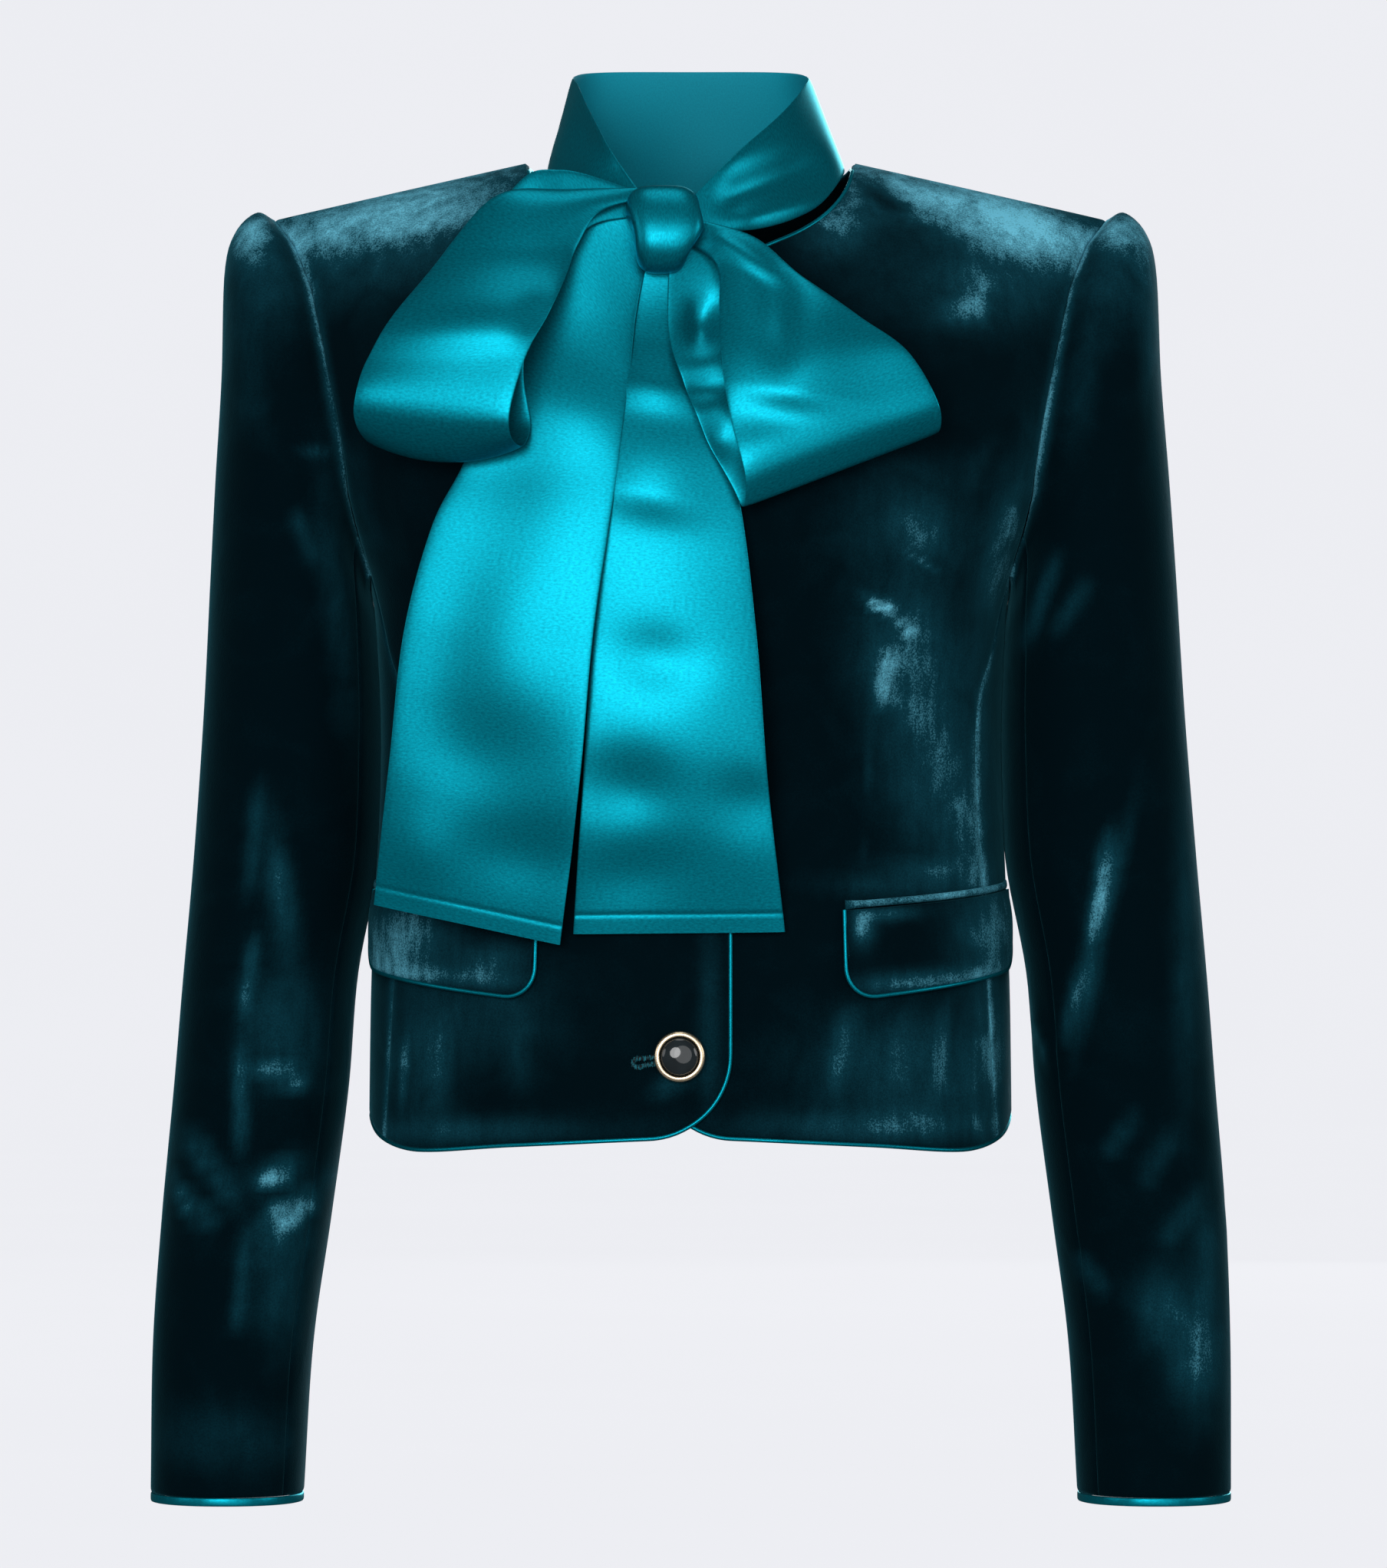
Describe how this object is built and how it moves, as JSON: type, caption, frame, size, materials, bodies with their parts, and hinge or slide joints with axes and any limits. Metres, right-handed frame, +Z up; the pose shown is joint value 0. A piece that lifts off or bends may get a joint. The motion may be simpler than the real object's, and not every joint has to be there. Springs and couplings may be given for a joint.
{
  "type": "cropped velvet jacket with neck tie",
  "caption": "Cropped collarless velvet jacket, filled out as if worn and hollow, with piped edges, pocket flaps, a domed button and a satin bow tied at the neck.",
  "frame": {"origin": "base of the neck, midway between the neck ends of the shoulder seams, where the wearer's neck and shoulders hold the jacket", "axes": "+Z up out of the neck, -Y towards the front, +X towards the wearer's left"},
  "size_m": [0.511, 0.2377, 0.6811],
  "materials": {
    "velvet": "near-black teal velvet with a bright nap",
    "satin": "teal satin",
    "gold": "polished pale gold",
    "stone": "glossy dark cabochon"
  },
  "bodies": {
    "root": {"front_right": "velvet", "front_left": "velvet", "side_right": "velvet", "side_left": "velvet", "back": "velvet", "sleeve_right_top": "velvet", "sleeve_right_under": "velvet", "sleeve_left_top": "velvet", "sleeve_left_under": "velvet", "flap_right": "velvet", "flap_left": "velvet", "welt_right": "velvet", "welt_left": "velvet", "piping_front_right": "satin", "piping_front_left": "satin", "piping_back_hem": "satin", "piping_neck": "satin", "piping_flap_right": "satin", "piping_flap_left": "satin", "cuff_right": "satin", "cuff_left": "satin", "neck_band": "satin", "knot": "satin", "loop_right": "satin", "loop_left": "satin", "tail_right": "satin", "tail_left": "satin", "button_ring": "gold", "button_stone": "stone"}
  },
  "joints": []
}
